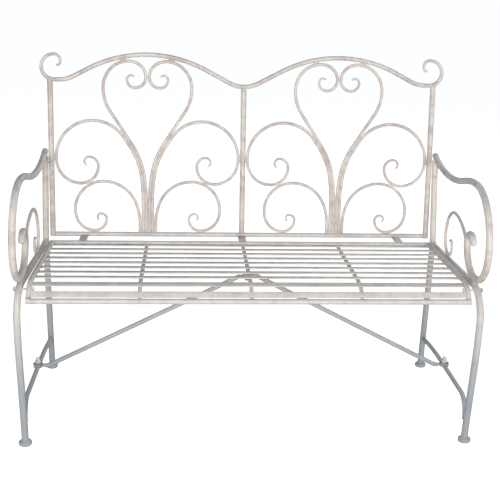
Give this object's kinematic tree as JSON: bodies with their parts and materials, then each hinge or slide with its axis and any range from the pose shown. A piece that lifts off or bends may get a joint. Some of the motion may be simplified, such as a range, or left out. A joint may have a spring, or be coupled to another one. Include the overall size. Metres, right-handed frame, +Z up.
{
  "type": "garden bench",
  "caption": "Wrought iron garden bench with an open slatted seat, scrolled armrests and a back of hearts and scrolls under a waved top rail.",
  "frame": {"origin": "centre of the bench's bounding box in plan, on the floor", "axes": "+X to the left of a person who sits on the bench, -Y the way that person faces, +Z up"},
  "size_m": [1.122, 0.5832, 0.9061],
  "materials": {
    "painted_iron": "worn antique white paint, satin",
    "painted_hardware": "thin worn paint over dull zinc"
  },
  "bodies": {
    "root": {"front_leg_l": "painted_iron", "rear_leg_l": "painted_iron", "armrest_l": "painted_iron", "arm_scroll_l": "painted_iron", "stretcher_l": "painted_iron", "foot_front_l": "painted_iron", "foot_rear_l": "painted_iron", "brace_nut_l": "painted_hardware", "arm_bolt_l": "painted_hardware", "seat_bolt_l": "painted_hardware", "front_leg_r": "painted_iron", "rear_leg_r": "painted_iron", "armrest_r": "painted_iron", "arm_scroll_r": "painted_iron", "stretcher_r": "painted_iron", "foot_front_r": "painted_iron", "foot_rear_r": "painted_iron", "brace_nut_r": "painted_hardware", "arm_bolt_r": "painted_hardware", "seat_bolt_r": "painted_hardware", "seat_side_l": "painted_iron", "seat_side_r": "painted_iron", "seat_back_bar": "painted_iron", "seat_front_tube": "painted_iron", "cross_bar_l": "painted_iron", "cross_bar_c": "painted_iron", "cross_bar_r": "painted_iron", "seat_slat_1": "painted_iron", "seat_slat_2": "painted_iron", "seat_slat_3": "painted_iron", "seat_slat_4": "painted_iron", "seat_slat_5": "painted_iron", "seat_slat_6": "painted_iron", "seat_slat_7": "painted_iron", "seat_slat_8": "painted_iron", "seat_slat_9": "painted_iron", "seat_slat_10": "painted_iron", "back_bottom_rail": "painted_iron", "back_top_rail": "painted_iron", "back_post_l": "painted_iron", "heart_ll": "painted_iron", "heart_lr": "painted_iron", "big_scroll_ll": "painted_iron", "big_scroll_lr": "painted_iron", "small_scroll_ll": "painted_iron", "small_scroll_lr": "painted_iron", "back_post_r": "painted_iron", "heart_rl": "painted_iron", "heart_rr": "painted_iron", "big_scroll_rl": "painted_iron", "big_scroll_rr": "painted_iron", "small_scroll_rl": "painted_iron", "small_scroll_rr": "painted_iron", "back_post_c": "painted_iron", "back_tab_l": "painted_iron", "back_tab_c": "painted_iron", "back_tab_r": "painted_iron", "brace_l": "painted_iron", "brace_r": "painted_iron", "brace_bolt": "painted_hardware"}
  },
  "joints": []
}
